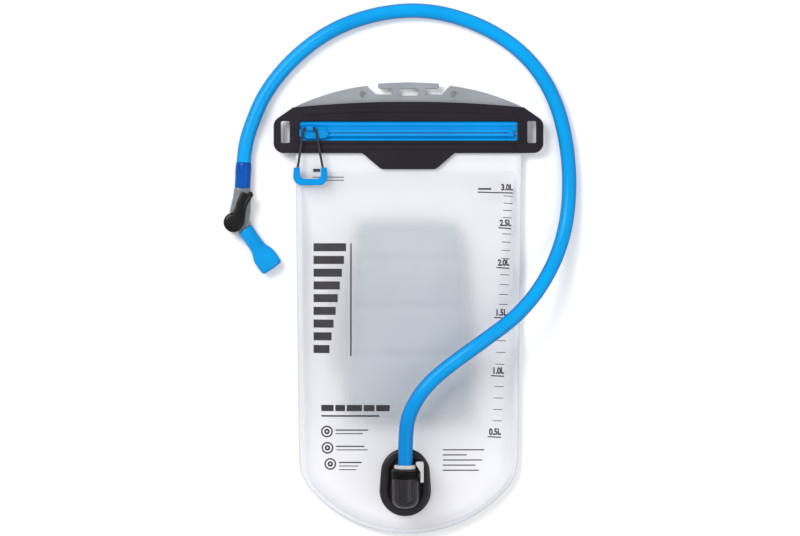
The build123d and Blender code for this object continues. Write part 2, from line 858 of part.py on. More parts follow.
with BuildPart() as rotor_retainer:
    with BuildSketch(Plane.XY.offset(housing_low)):
        with Locations((valve_pivot.X, valve_pivot.Y)):
            Circle(rotor_radius)
    extrude(amount=rotor_low - housing_low - 0.2)
save_solid(rotor_retainer.part, "rotor_retainer")

with BuildPart() as valve_lever:
    with BuildSketch(Plane.XY.offset(lever_low)) as lever_face:
        with BuildLine():
            Polyline(
                (valve_pivot.X - 3.0, valve_pivot.Y + 7.5),
                (valve_pivot.X + 2.6, valve_pivot.Y + 25.5),
                (valve_pivot.X + 13.5, valve_pivot.Y + 28.6),
                (valve_pivot.X + 18.6, valve_pivot.Y + 27.0),
                (valve_pivot.X + 18.2, valve_pivot.Y + 22.5),
                (valve_pivot.X + 11.8, valve_pivot.Y + 17.0),
                (valve_pivot.X + 8.5, valve_pivot.Y + 2.5),
                (valve_pivot.X, valve_pivot.Y),
                close=True,
            )
        make_face()
        fillet(lever_face.vertices().filter_by(lambda v: v.Y > valve_pivot.Y + 20), 2.0)
        with Locations((valve_pivot.X, valve_pivot.Y)):
            Circle(lever_disc_radius)
    extrude(amount=lever_thickness)
    fillet(valve_lever.faces().sort_by(Axis.Z)[-1].edges(), 0.7)
    with BuildSketch(Plane.XY.offset(lever_low)):
        with Locations((valve_pivot.X, valve_pivot.Y)):
            Rectangle(lever_square + 2 * square_gap, lever_square + 2 * square_gap)
    extrude(amount=lever_thickness - lever_floor, mode=Mode.SUBTRACT)
save_solid(valve_lever.part, "valve_lever")

# bite valve: round stem that opens to a flat mouth with a slit
bite_gap = 0.4
bite_flare = 9.0
bite_floor = 5.0
slit_length = 12.0
slit_width = 0.5
bite_near = bite_start + bite_way * bite_gap


def bite_plane(distance):
    """Plane across the bite valve at a distance from its stem's end."""
    return Plane(origin=bite_near + bite_way * distance, x_dir=(-bite_way.Y, bite_way.X, 0), z_dir=bite_way)


with BuildPart() as bite_valve:
    with BuildSketch(bite_plane(0)):
        Circle(bite_stem_radius)
    extrude(amount=bite_stem_length)
    with BuildSketch(bite_plane(bite_stem_length - 1.0)):
        Ellipse(bite_stem_radius - 0.1, bite_stem_radius - 0.3)
    with BuildSketch(bite_plane(bite_stem_length + bite_flare)):
        Ellipse(bite_mouth_width / 2, bite_mouth_height / 2)
    with BuildSketch(bite_plane(bite_length)):
        Ellipse(bite_mouth_width / 2 - 0.8, bite_mouth_height / 2 - 0.8)
    loft(ruled=True)
    with BuildSketch(bite_plane(0)):
        Circle(barb_radius + 0.08)
    extrude(amount=barb_reach + 1.0, mode=Mode.SUBTRACT)
    with BuildSketch(bite_plane(0)):
        Circle(housing_bore)
    extrude(amount=bite_length - bite_floor, mode=Mode.SUBTRACT)
    with BuildSketch(bite_plane(bite_length - bite_floor - 1.0)):
        Rectangle(slit_length, slit_width)
    extrude(amount=bite_floor + 3.0, mode=Mode.SUBTRACT)
save_solid(bite_valve.part, "bite_valve")
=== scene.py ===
import bpy
import numpy as np
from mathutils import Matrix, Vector


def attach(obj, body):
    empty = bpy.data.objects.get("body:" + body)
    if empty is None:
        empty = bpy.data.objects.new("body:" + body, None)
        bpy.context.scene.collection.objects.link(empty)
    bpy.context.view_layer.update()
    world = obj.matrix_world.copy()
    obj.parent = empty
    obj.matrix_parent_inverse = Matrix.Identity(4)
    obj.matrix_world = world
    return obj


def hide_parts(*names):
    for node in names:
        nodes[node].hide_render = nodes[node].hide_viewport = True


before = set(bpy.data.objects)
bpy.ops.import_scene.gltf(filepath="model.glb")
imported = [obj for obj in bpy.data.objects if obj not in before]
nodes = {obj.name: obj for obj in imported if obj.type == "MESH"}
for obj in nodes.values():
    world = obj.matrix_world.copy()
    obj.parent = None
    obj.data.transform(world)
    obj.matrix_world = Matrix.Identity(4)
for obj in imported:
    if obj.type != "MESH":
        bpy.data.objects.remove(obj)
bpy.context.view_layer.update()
mm = 0.001
print("frame loaded:", len(nodes), "nodes")


# sRGB hex to linear RGBA
def hexColour(code):
    c = np.array([int(code[i:i + 2], 16) / 255 for i in (1, 3, 5)])
    c = np.where(c <= 0.04045, c / 12.92, ((c + 0.055) / 1.055) ** 2.4)
    return (*map(float, c), 1.0)


# adds one shader node: settings are its properties, links its inputs (a socket or a plain value)
def addNode(tree, kind, links=None, **settings):
    node = tree.nodes.new(kind)
    for key, value in settings.items():
        setattr(node, key, value)
    for key, value in (links or {}).items():
        if isinstance(value, bpy.types.NodeSocket):
            tree.links.new(value, node.inputs[key])
        else:
            node.inputs[key].default_value = value
    return node


# a principled material; uniform values sit on the shader's own sockets
def startMaterial(name, **values):
    mat = bpy.data.materials.new(name)
    mat.use_nodes = True
    tree = mat.node_tree
    shader = tree.nodes["Principled BSDF"]
    for key, value in values.items():
        shader.inputs[key.replace("_", " ")].default_value = value
    return mat, tree, shader


# noise whose features are about the given size in mm
def addNoise(tree, where, size, detail):
    links = {"Vector": where, "Scale": 1 / (size * mm), "Detail": detail}
    return addNode(tree, "ShaderNodeTexNoise", links).outputs["Fac"]


# a value carried from one span to another and held at its ends
def mapSpan(tree, value, start=(0.0, 1.0), end=(0.0, 1.0)):
    links = {"Value": value, "From Min": start[0], "From Max": start[1], "To Min": end[0], "To Max": end[1]}
    return addNode(tree, "ShaderNodeMapRange", links).outputs["Result"]


# two colours mixed by a factor; each is a socket or a plain colour
def mixColour(tree, factor, first, second):
    links = {"Factor": factor, 6: first, 7: second}
    return addNode(tree, "ShaderNodeMix", links, data_type="RGBA").outputs[2]


# slow drift between two colours; returns the colour and the noise that it follows
def addDrift(tree, where, size, colours, detail=3.0, stops=(0.3, 0.7)):
    cloud = addNoise(tree, where, size, detail)
    tone = addNode(tree, "ShaderNodeValToRGB", {"Fac": cloud})
    for element, stop, colour in zip(tone.color_ramp.elements, stops, colours):
        element.position = stop
        element.color = hexColour(colour)
    return tone.outputs["Color"], cloud


# bump from a height, its depth in mm
def addBump(tree, shader, height, strength, depth):
    links = {"Height": height, "Strength": strength, "Distance": depth * mm}
    bump = addNode(tree, "ShaderNodeBump", links)
    tree.links.new(bump.outputs["Normal"], shader.inputs["Normal"])


# colour drift, grain bump and roughness drift of a moulded or rubbery finish; returns the colour
def addGrain(tree, shader, colours, drift, grain, depth, rough):
    where = addNode(tree, "ShaderNodeTexCoord").outputs["Object"]
    tone, cloud = addDrift(tree, where, drift, colours)
    tree.links.new(tone, shader.inputs["Base Color"])
    addBump(tree, shader, addNoise(tree, where, grain, 2.0), 0.5, depth)
    tree.links.new(mapSpan(tree, cloud, end=rough), shader.inputs["Roughness"])
    return tone


# a finish that is grain alone: colours, drift and grain size, grain depth, roughness span
def makeGrained(name, colours, drift, grain, depth, rough, **values):
    mat, tree, shader = startMaterial(name, **values)
    addGrain(tree, shader, colours, drift, grain, depth, rough)
    return mat


# mesh from a grid of points (rows, columns, 3); wrapped columns close round, flat ends are capped
def gridMesh(name, points, wrap=False, caps=False, flip=False, smooth=True):
    rows, cols = points.shape[:2]
    index = np.arange(rows * cols).reshape(rows, cols)
    right = np.roll(index, -1, axis=1) if wrap else index[:, 1:]
    left = index if wrap else index[:, :-1]
    quads = np.stack([left[:-1], right[:-1], right[1:], left[1:]], axis=-1).reshape(-1, 4)
    if flip:
        quads = quads[:, ::-1]
    mesh = bpy.data.meshes.new(name)
    faces = quads.tolist()
    if caps:
        ends = [index[0][::-1].tolist(), index[-1].tolist()]
        faces += [e[::-1] for e in ends] if flip else ends
    mesh.from_pydata((points.reshape(-1, 3) * mm).tolist(), [], faces)
    mesh.validate()
    mesh.polygons.foreach_set("use_smooth", np.full(len(mesh.polygons), smooth))
    return mesh


# the points of a mesh, one row each
def readPoints(mesh):
    co = np.empty(len(mesh.vertices) * 3)
    mesh.vertices.foreach_get("co", co)
    return co.reshape(-1, 3)


# a value painted on every point, for a material to read
def paintValue(mesh, name, values):
    layer = mesh.attributes.new(name, "FLOAT", "POINT")
    layer.data.foreach_set("value", np.ravel(values))


# joins several meshes into one; all are in place already
def joinMeshes(name, meshes):
    verts, faces, base = [], [], 0
    for m in meshes:
        verts += readPoints(m).tolist()
        faces += [[v + base for v in p.vertices] for p in m.polygons]
        base += len(m.vertices)
    mesh = bpy.data.meshes.new(name)
    mesh.from_pydata(verts, [], faces)
    mesh.polygons.foreach_set("use_smooth", np.full(len(faces), True))
    return mesh


# a piece of one material: the body it rides on, its slot (not used) and the CAD nodes that it stands for
def addPiece(name, mesh, mat, body, slot, *replaced):
    piece = bpy.data.objects.new(name, mesh)
    bpy.context.collection.objects.link(piece)
    mesh.materials.clear()
    mesh.materials.append(mat)
    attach(piece, body)
    if replaced:
        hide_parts(*replaced)
    return piece


# gives an open sheet its wall
def closeSheet(piece, thick):
    solid = piece.modifiers.new("wall", "SOLIDIFY")
    solid.thickness = thick * mm
    solid.offset = -1


# soft S between 0 and 1
def ease(t):
    t = np.clip(t, 0, 1)
    return t * t * (3 - 2 * t)


# angles once round, without the last one, which is the first again
def fullTurn(count):
    return np.linspace(0, 2 * np.pi, count, endpoint=False)


# a size at even steps along a run, straight between its stops of (share of the run, size)
def sizeAlong(stops, count):
    share, size = np.array(stops).T
    return np.interp(np.linspace(0, 1, count), share, size)


# unit superellipse: cosine and sine raised to 2 / squareness, signs kept; a row for each squareness
def squareRound(squareness, count):
    angle = fullTurn(count)[None, :]
    power = 2 / np.reshape(squareness, (-1, 1))
    c, s = np.cos(angle), np.sin(angle)
    return np.sign(c) * np.abs(c) ** power, np.sign(s) * np.abs(s) ** power


# tube mesh: a superellipse of half width a and half height b, carried along a path with up kept upright
def tubeMesh(name, path, a, b, squareness=2.0, count=32, up=(0, 0, 1)):
    tangent = np.gradient(path, axis=0)
    tangent /= np.linalg.norm(tangent, axis=1, keepdims=True)
    side = np.cross(tangent, np.array(up, float))
    side /= np.linalg.norm(side, axis=1, keepdims=True)
    top = np.cross(side, tangent)
    c, s = squareRound(squareness, count)
    wide = np.broadcast_to(np.asarray(a, float), (len(path),))[:, None] * c
    high = np.broadcast_to(np.asarray(b, float), (len(path),))[:, None] * s
    rings = path[:, None] + side[:, None] * wide[..., None] + top[:, None] * high[..., None]
    return gridMesh(name, rings, wrap=True, caps=True, flip=True)


# tube mesh round a flat closed loop: half width a in the loop's plane, half height b across it
def loopMesh(name, path, a, b, count=14):
    tangent = np.roll(path, -1, axis=0) - np.roll(path, 1, axis=0)
    tangent /= np.linalg.norm(tangent, axis=1, keepdims=True)
    side = np.cross(tangent, (0, 0, 1.0))
    angle = fullTurn(count)
    rings = path[:, None] + side[:, None] * (a * np.cos(angle))[None, :, None]
    rings[..., 2] += b * np.sin(angle)
    return gridMesh(name, np.concatenate([rings, rings[:1]]), wrap=True)


# turned mesh about an upright axis, from (radius, height) steps above a floor
def turnedMesh(name, centre, steps, floor=0.0, count=64):
    angle = fullTurn(count)
    x, y = np.cos(angle), np.sin(angle)
    rings = [
        np.c_[centre[0] + radius * x, centre[1] + radius * y, np.full(count, floor + high)]
        for radius, high in steps
    ]
    return gridMesh(name, np.stack(rings), wrap=True, caps=True)


# ellipsoid grid: centre + pole cos a + first sin a cos t + second sin a sin t, a small hole at each pole
def ellipsoid(centre, pole, first, second, rows, cols, hole):
    a = np.linspace(hole, np.pi - hole, rows)[:, None, None]
    t = fullTurn(cols)[None, :, None]
    girth = np.array(first) * np.sin(a) * np.cos(t) + np.array(second) * np.sin(a) * np.sin(t)
    return np.array(centre) + np.array(pole) * np.cos(a) + girth


# a smooth curve through a few points, sampled evenly (Catmull-Rom)
def smoothPath(points, count):
    p = np.array(points, float)
    p = np.vstack([2 * p[0] - p[1], p, 2 * p[-1] - p[-2]])
    t = np.linspace(0, len(points) - 1 - 1e-6, count)
    i = t.astype(int)
    f = (t - i)[:, None]
    a, b, c, d = p[i], p[i + 1], p[i + 2], p[i + 3]
    square, cube = 2 * a - 5 * b + 4 * c - d, 3 * b - a - 3 * c + d
    curve = 0.5 * (2 * b + (c - a) * f + square * f ** 2 + cube * f ** 3)
    step = np.r_[0, np.cumsum(np.linalg.norm(np.diff(curve, axis=0), axis=1))]
    even = np.linspace(0, step[-1], count)
    return np.stack([np.interp(even, step, curve[:, k]) for k in range(3)], axis=1)


# extruded TPU tube: a wet-looking blue skin, with painted shade where it turns away from view and painted
# shade towards the port, where it stands over the bag
def makeHoseBlue():
    mat, tree, shader = startMaterial(
        "extrudedTpuBlue", IOR=1.45, Specular_IOR_Level=0.05, Coat_Weight=0.14, Coat_Roughness=0.12)
    tone = addGrain(tree, shader, ("#0088CA", "#0094D6"), 60, 1.6, 0.05, (0.28, 0.36))
    # painted shade: the blue darkens where the surface turns away from view
    facing = addNode(tree, "ShaderNodeLayerWeight", {"Blend": 0.28}).outputs["Facing"]
    wall = mixColour(tree, mapSpan(tree, facing, (0.12, 0.6)), tone, hexColour("#004694"))
    where = addNode(tree, "ShaderNodeTexCoord").outputs["Object"]
    along = addNode(tree, "ShaderNodeSeparateXYZ", {"Vector": where}).outputs["Y"]
    # painted shade: the tone deepens towards the port, where the tube stands over the bag
    near = mapSpan(tree, along, (-45 * mm, -130 * mm), (0.0, 0.6))
    skin = mixColour(tree, near, wall, hexColour("#0062AC"))
    tree.links.new(skin, shader.inputs["Base Color"])
    return mat


# hose, from the connector's barb round to the cuff
hose = {
    "diameter": 13.4,
    "length": 810.0,
    "route": [
        (-3.0, -142.6, 48.0), (-3.0, -121.0, 48.0), (-1.0, -97.5, 52.5), (12.1, -74.2, 54.8),
        (31.3, -55.6, 55.4), (67.2, -29.9, 54.7), (99.2, -6.8, 46.0), (122.6, 20.3, 31.0),
        (140.7, 55.1, 16.0), (149.6, 96.4, 8.6), (148.5, 147.1, 7.0), (136.2, 196.3, 6.9),
        (110.2, 234.8, 6.9), (71.2, 261.8, 7.0), (22.7, 277.0, 6.9), (-23.4, 275.3, 6.9),
        (-68.6, 260.7, 7.0), (-105.3, 234.4, 6.9), (-132.9, 201.3, 6.9), (-146.6, 168.8, 7.1),
        (-152.2, 148.0, 7.6), (-152.9, 134.0, 7.6),
    ],
}
hoseCurve = bpy.data.curves.new("hoseTube", "CURVE")
hoseCurve.dimensions = "3D"
hoseCurve.bevel_depth = hose["diameter"] / 2 * mm
hoseCurve.bevel_resolution = 10
hoseCurve.resolution_u = 12
hoseCurve.use_fill_caps = True
line = hoseCurve.splines.new("NURBS")
line.points.add(len(hose["route"]) - 1)
line.points.foreach_set("co", np.c_[np.array(hose["route"]) * mm, np.ones(len(hose["route"]))].ravel())
line.order_u = 3
line.use_endpoint_u = True
hoseCurve.materials.append(makeHoseBlue())
hoseTube = bpy.data.objects.new("hoseTube", hoseCurve)
bpy.context.collection.objects.link(hoseTube)
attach(hoseTube, "hose_end")
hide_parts("hose")
print("hose laid")

# bag: rises are (start, width, power) inwards from the side, the frame and the round end
bag = {
    "half": 101.5, "flare": 4.0, "top": 186.0, "centre": -88.0, "radius": 121.0, "soften": 3.4,
    "seam": 8.0, "face": 34.0, "waterTop": 124.0, "crown": 3.4, "film": 0.5,
    "frontRises": [(5, 36, 3.4), (0, 106, 1.66), (4, 13, 1.9)],
    "backRises": [(5, 22, 3.0), (-2, 34, 2.2), (4, 15, 2.2)],
    "frontGrid": (230, 150), "backGrid": (150, 90),
}


# half width of the bag's outline at height y: a soft minimum of the flared side and the round end
def bagHalf(y):
    cornerY = bag["centre"] - np.sqrt(bag["radius"] ** 2 - bag["half"] ** 2)
    side = bag["half"] + bag["flare"] * np.clip((y - cornerY) / (bag["top"] - cornerY), 0, 1)
    arc = np.sqrt(np.clip(bag["radius"] ** 2 - np.minimum(y - bag["centre"], 0) ** 2, 0, None))
    arc = np.where(y > bag["centre"], bag["radius"], arc)
    return -np.logaddexp(-side / bag["soften"], -arc / bag["soften"]) * bag["soften"]


# distances inwards from the side, the frame and the round end
def bagInsets(x, y):
    side = bagHalf(y) - np.abs(x)
    end = bag["radius"] - np.hypot(x, np.minimum(y - bag["centre"], 0))
    return side, bag["waterTop"] - y, np.where(y > bag["centre"], 200.0, end)


# share of a film's full height: each rise is 1 - (1 - distance / width) ^ power, joined by a soft minimum
def riseShare(insets, rises):
    shares = [
        1 - (1 - np.clip((inset - start) / width, 0, 1)) ** power
        for inset, (start, width, power) in zip(insets, rises)
    ]
    soft = sum(np.clip(s, 1e-4, 1) ** -6.0 for s in shares) ** (-1 / 6.0)
    return np.clip(soft * 1.02, 0, 1)


# front film: its rises from the seam, a low crown, and faint folds that are products of slow sines
def filmTop(x, y):
    insets = bagInsets(x, y)
    share = riseShare(insets, bag["frontRises"])
    crown = bag["crown"] * np.clip(1 - (x / 88) ** 2, 0, 1) * ease((y + 132) / 50) * ease((70 - y) / 70)
    away = ease((np.hypot(x, y + 160) - 34) / 30)
    folds = 0.5 * np.sin(x / 7.5 + 0.8 * np.sin(y / 31)) * ease((y - 40) / 60) * share
    folds += 0.45 * np.sin(y / 17.0 + np.sin(x / 29)) * np.sin(x / 41 + 1.3)
    folds += 0.35 * np.sin((x + y) / 23 + 2) * np.sin((x - 1.4 * y) / 37)
    folds += 0.6 * np.sin(np.arctan2(y + 60, x) * 15) * np.exp(-((insets[0] - 12) / 9) ** 2)
    edge = bag["seam"] + bag["film"]
    return edge + (bag["face"] - edge) * share + (crown + folds * share) * away


# back film: a shallow tray that lies flat on the floor
def filmBack(x, y):
    edge = bag["seam"] - bag["film"] * 0.5
    return edge - edge * riseShare(bagInsets(x, y), bag["backRises"]) + 0.02


# rows run from the frame to the round end and close up towards it; columns run across
def bagGrid(height, rows, cols):
    low = bag["centre"] - bag["radius"]
    t = np.linspace(0, 1, rows)[:, None]
    y = bag["top"] + (low + 0.02 - bag["top"]) * np.sin(t * np.pi / 2) ** 0.85
    u = np.linspace(-1, 1, cols)[None, :]
    u = np.sign(u) * (1 - (1 - np.abs(u)) ** 1.25)
    x = u * bagHalf(y)
    y = y + np.zeros_like(x)
    return np.stack([x, y, height(x, y)], axis=-1)


# edge value: 0 inside, a step up along the welded band, 1 at the cut edge
def paintEdge(mesh):
    x, y, _ = readPoints(mesh).T / mm
    side, _, end = bagInsets(x, y)
    near = np.minimum(side, end)
    paintValue(mesh, "edge", 0.35 * (1 - ease((near - 3.8) / 1.6)) + 0.65 * (1 - ease((near - 0.3) / 1.1)))


# frosted TPU film, calendered and welded: milky and soft, with painted light that makes it lighter towards
# the round end, greyer along its seam
def makeFilm(name, milk, tones, seamTone, endLightTone):
    mat, tree, shader = startMaterial(name, IOR=1.45, Roughness=0.42, Specular_IOR_Level=0.4)
    where = addNode(tree, "ShaderNodeTexCoord").outputs["Object"]
    tone, _ = addDrift(tree, where, 70, tones)
    along = addNode(tree, "ShaderNodeSeparateXYZ", {"Vector": where}).outputs["Y"]
    # painted light: the film's tone lightens towards the round end
    base = mixColour(tree, mapSpan(tree, along, (-60 * mm, -150 * mm)), tone, hexColour(endLightTone))
    edge = addNode(tree, "ShaderNodeAttribute", attribute_name="edge").outputs["Fac"]
    tree.links.new(mixColour(tree, edge, base, hexColour(seamTone)), shader.inputs["Base Color"])
    tree.links.new(mapSpan(tree, edge, end=(milk, min(1, milk * 2.4))), shader.inputs["Alpha"])
    addBump(tree, shader, addNoise(tree, where, 1.2, 2.0), 0.25, 0.05)
    return mat


filmFront = makeFilm("frostedTpuFront", 0.2, ("#E1E2E6", "#E8E9ED"), "#CDD0D7", "#F6F6F9")
filmRear = makeFilm("frostedTpuBack", 0.72, ("#ECEDF0", "#F0F1F5"), "#D3D6DD", "#F8F8FB")
frontMesh = gridMesh("bagFront", bagGrid(filmTop, *bag["frontGrid"]), flip=True)
backMesh = gridMesh("bagBack", bagGrid(filmBack, *bag["backGrid"]))
bagFront = addPiece("bagFront", frontMesh, filmFront, "bag", "film", "front_panel")
bagBack = addPiece("bagBack", backMesh, filmRear, "bag", "film", "back_panel")
for film in (bagFront, bagBack):
    paintEdge(film.data)
    closeSheet(film, bag["film"])
print("films made")

# screen printed ink: charcoal and matt, crisp at its edges, laid just proud of the film
inkDark = makeGrained(
    "screenInkCharcoal", ("#272429", "#332F35"), 9, 0.4, 0.01, (0.5, 0.65), Specular_IOR_Level=0.3)
ink = {"proud": 0.18, "step": 2.0}


# lays flat points (x, y) on the front film, just proud of it
def layInk(x, y):
    return np.stack([x, y, filmTop(x, y) + ink["proud"]], axis=-1)


# a printed bar: a fine grid between two corners, leaning by the given amount across its length
def inkBar(x0, x1, y0, y1, lean=0.0):
    cols = max(2, int((x1 - x0) / ink["step"]) + 2)
    rows = max(2, int((y1 - y0) / ink["step"]) + 2)
    x, y = np.meshgrid(np.linspace(x0, x1, cols), np.linspace(y0, y1, rows))
    return gridMesh("bar", layInk(x, y + lean * (x - x0) / (x1 - x0)))


# a printed ring between two radii; an inner radius near zero prints a disc
def inkRing(x, y, inside, outside, count=36):
    angle = fullTurn(count)[None, :]
    radius = np.linspace(inside, outside, 4)[:, None]
    points = layInk(x + radius * np.cos(angle), y + radius * np.sin(angle))
    return gridMesh("ring", points, wrap=True, flip=True)


# numerals from the built-in font, scaled to a cap height and laid on the film
def inkFigures(words, right, low, height):
    curve = bpy.data.curves.new("figures", "FONT")
    curve.body = words
    curve.align_x = "RIGHT"
    curve.size = height * 1.42
    curve.offset = 0.06 * height
    holder = bpy.data.objects.new("figures", curve)
    mesh = bpy.data.meshes.new_from_object(holder)
    bpy.data.objects.remove(holder)
    x, y, _ = readPoints(mesh).T
    flat = layInk(right + (x - x.max()) * 0.8, low + y - y.min())
    mesh.vertices.foreach_set("co", (flat * mm).ravel())
    return mesh


# the scale: a level line and its figure every half litre, with four ticks below each
scale = {
    "levels": [  # figure, height of its line, height of the first tick below, tick spacing
        ("3.0L", 107.4, 103.9, 6.7), ("2.5L", 74.3, 68.8, 7.6), ("2.0L", 37.7, 31.2, 9.1),
        ("1.5L", -8.2, -18.7, 10.8), ("1.0L", -61.7, -71.7, 10.5), ("0.5L", -117.8, 0, 0),
    ],
    "edge": 91.2, "slant": 0.052, "line": 12.4, "longLine": 32.9, "tick": 8.6, "figure": 5.6,
    "fullMark": (64.5, 76.5, 109.6, 111.2),
}


# right end of a mark at height y: the scale leans with the bag's side
def scaleEdge(y):
    return scale["edge"] + scale["slant"] * y


prints = []
for figure, level, first, spacing in scale["levels"]:
    edge = scaleEdge(level)
    width = scale["longLine"] if figure == "3.0L" else scale["line"]
    prints.append(inkBar(edge - width, edge, level - 0.5, level + 0.5, -0.8))
    prints.append(inkFigures(figure, edge, level + 1.4, scale["figure"]))
    for i in range(4 if spacing else 0):
        y = first - i * spacing
        prints.append(inkBar(scaleEdge(y) - scale["tick"], scaleEdge(y), y - 0.28, y + 0.28, -0.4))
prints.append(inkBar(*scale["fullMark"]))

# plain graphics in place of words: a stack of bars, headings, three round signs and text rules
graphics = {
    "stack": {"left": -87.5, "top": 60.0, "width": 30.0, "loses": 1.9, "high": 7.4, "pitch": 11.7, "bars": 9},
    "heading": {
        "left": -80.3, "low": -94.3, "top": -88.6, "gap": 1.6, "blocks": (13.0, 10.5, 15.5, 11.5, 14.0),
    },
    "signs": [  # centre, and the lengths of the rules beside it
        (-75.1, -113.1, (30.0, 25.0)), (-74.6, -128.1, (26.0, 29.0)), (-72.0, -142.9, (21.0, 18.0, 16.0)),
    ],
    "sign": {"ring": (4.1, 5.4), "dot": (0.9, 2.5), "away": 8.0, "rise": 1.9, "pitch": 3.4},
    "notes": {
        "left": 31.5, "top": -129.4, "pitch": 4.7, "high": 1.0, "rules": (38.0, 22.0, 36.0, 30.0, 33.0),
    },
    "bars": [  # left, right, low, top
        (-53.6, -52.4, -43.5, 60.0), (-80.3, -27.0, -99.4, -98.0), (-88.5, -82.0, 126.6, 129.2),
        (-89.0, -60.0, 121.1, 121.8), (-89.0, -60.0, 118.2, 118.9),
    ],
}
stack, heading, sign, notes = (graphics[key] for key in ("stack", "heading", "sign", "notes"))
for i in range(stack["bars"]):
    y = stack["top"] - i * stack["pitch"]
    right = stack["left"] + stack["width"] - stack["loses"] * i
    prints.append(inkBar(stack["left"], right, y - stack["high"], y))
x = heading["left"]
for width in heading["blocks"]:
    prints.append(inkBar(x, x + width - heading["gap"], heading["low"], heading["top"]))
    x += width
for x, y, rules in graphics["signs"]:
    prints.append(inkRing(x, y, *sign["ring"]))
    prints.append(inkRing(x, y, *sign["dot"]))
    for i, length in enumerate(rules):
        left = x + sign["away"]
        top = y + sign["rise"] - sign["pitch"] * i
        prints.append(inkBar(left, left + length, top - (0.75 if i else 1.1), top))
for i, length in enumerate(notes["rules"]):
    y = notes["top"] - notes["pitch"] * i
    prints.append(inkBar(notes["left"], notes["left"] + length, y - notes["high"], y))
for bar in graphics["bars"]:
    prints.append(inkBar(*bar))
addPiece("filmPrints", joinMeshes("filmPrints", prints), inkDark, "bag", None)
print("film printed")

# inner sheet, welded across in three rows
inner = {
    "top": 88.0, "low": -112.0, "halfTop": 57.0, "halfLow": 68.0, "z": 17.0, "welds": (44.0, 0.5, -44.0),
    "grid": (110, 80), "sideFade": 0.36, "endFade": 0.2,
}


# soft sheet of two parameters: a rounded plan, dimpled along its three weld rows, domed across
def innerGrid(v, u):
    y = (inner["top"] + inner["low"]) / 2 - v * (inner["top"] - inner["low"]) / 2
    half = inner["halfTop"] + (inner["halfLow"] - inner["halfTop"]) * ease((inner["top"] - y) / 150)
    corner = (1 - np.abs(v) ** 9) ** (1 / 4)
    x = u * half * (0.86 + 0.14 * corner)
    dip = sum(np.exp(-((y - weld) / 5) ** 2) for weld in inner["welds"])
    dome = 7 * (1 - u ** 2) * (1 - v ** 4)
    z = inner["z"] + dome - 2.6 * dip * (1 - u ** 4) + 0.5 * np.sin(x / 9 + y / 14)
    return np.stack([x, y, z], axis=-1)


# matt TPU baffle, calendered: a soft blue-grey shape whose edge fades into the milky film over it
def makeInner():
    mat, tree, shader = startMaterial("mattTpuBaffle", IOR=1.45, Roughness=0.7)
    where = addNode(tree, "ShaderNodeTexCoord").outputs["Object"]
    tone, _ = addDrift(tree, where, 45, ("#7D8A96", "#8C99A4"), detail=2.0, stops=(0.25, 0.75))
    tree.links.new(tone, shader.inputs["Base Color"])
    fade = addNode(tree, "ShaderNodeAttribute", attribute_name="fade").outputs["Fac"]
    tree.links.new(fade, shader.inputs["Alpha"])
    return mat


v, u = np.meshgrid(*(np.linspace(-1, 1, count) for count in inner["grid"]), indexing="ij")
innerMesh = gridMesh("innerSheet", innerGrid(v, u), flip=True)
fade = ease((1 - np.abs(u)) / inner["sideFade"]) * ease((1 - np.abs(v)) / inner["endFade"])
paintValue(innerMesh, "fade", fade)
addPiece("innerSheet", innerMesh, makeInner(), "bag", "inner_sheet", "baffle_panel")
print("inner sheet made")

# TPU coated fabric, hot pressed: charcoal, satin, with a leathery pebble
frameBlack = makeGrained(
    "pressedTpuBlack", ("#17121A", "#201A23"), 40, 0.9, 0.10, (0.42, 0.55), IOR=1.5, Specular_IOR_Level=0.13)
# polypropylene, moulded: cool grey, satin, faint flow marks
hangerGrey = makeGrained(
    "mouldedPolypropyleneGrey", ("#7E8289", "#878B92"), 25, 0.8, 0.05, (0.38, 0.5), IOR=1.49)
# polyurethane coated tape: clear blue with a glossy, slightly uneven skin
tapeBlue = makeGrained(
    "coatedTapeBlue", ("#0080C8", "#008CD4"), 50, 1.5, 0.04, (0.25, 0.35),
    IOR=1.5, Specular_IOR_Level=0.08, Coat_Weight=0.2, Coat_Roughness=0.12)
# acetal, moulded: bright blue, hard and glossy
acetalBlue = makeGrained(
    "mouldedAcetalBlue", ("#007AC0", "#0086CA"), 15, 0.7, 0.03, (0.22, 0.32),
    IOR=1.48, Specular_IOR_Level=0.06, Coat_Weight=0.14, Coat_Roughness=0.15)

# frame press: a rim just outside the zip's window, and two soft ridges beside it
press = {
    "top": 12.5, "windowHalf": 101.0, "windowLow": 155.1, "windowHigh": 173.2,
    "away": 1.7, "corner": 3.4, "rim": (1.5, 0.55),
    "ridge": 2.2, "ridgeHigh": 0.4, "upper": (98, 183.4, 2.6), "lower": (99, 148.6, 0),
}


# rounded rectangle as a closed path: corner centres plus the corner's radius along each direction
def ringPath(halfX, halfY, corner, centre, height, count=160):
    angle = fullTurn(count)
    c, s = np.cos(angle), np.sin(angle)
    x = np.sign(c) * (halfX - corner) * (np.abs(c) > 1e-9) + corner * c
    y = np.sign(s) * (halfY - corner) * (np.abs(s) > 1e-9) + corner * s
    return np.stack([centre[0] + x, centre[1] + y, np.full(count, height)], axis=1)


# pressed ridge across the frame: a bow of (half length, height, sag) that dies away at its ends
def ridgeMesh(name, half, height, sag, count=90):
    t = np.linspace(-1, 1, count)
    path = np.stack([t * half, height - sag * t ** 2, np.full(count, press["top"])], axis=1)
    return tubeMesh(name, path, press["ridge"], press["ridgeHigh"] * (1 - np.abs(t) ** 10) + 0.02, 2, 16)


rimHalf = (press["windowHigh"] - press["windowLow"]) / 2 + press["away"]
rimMid = (0.0, (press["windowLow"] + press["windowHigh"]) / 2)
rimPath = ringPath(press["windowHalf"] + press["away"], rimHalf, press["corner"], rimMid, press["top"])
pressed = [
    loopMesh("rim", rimPath, *press["rim"]),
    ridgeMesh("ridgeHigh", *press["upper"]),
    ridgeMesh("ridgeLow", *press["lower"]),
]
addPiece("frameRim", joinMeshes("frameRim", pressed), frameBlack, "bag", "black_frame")
print("frame pressed")

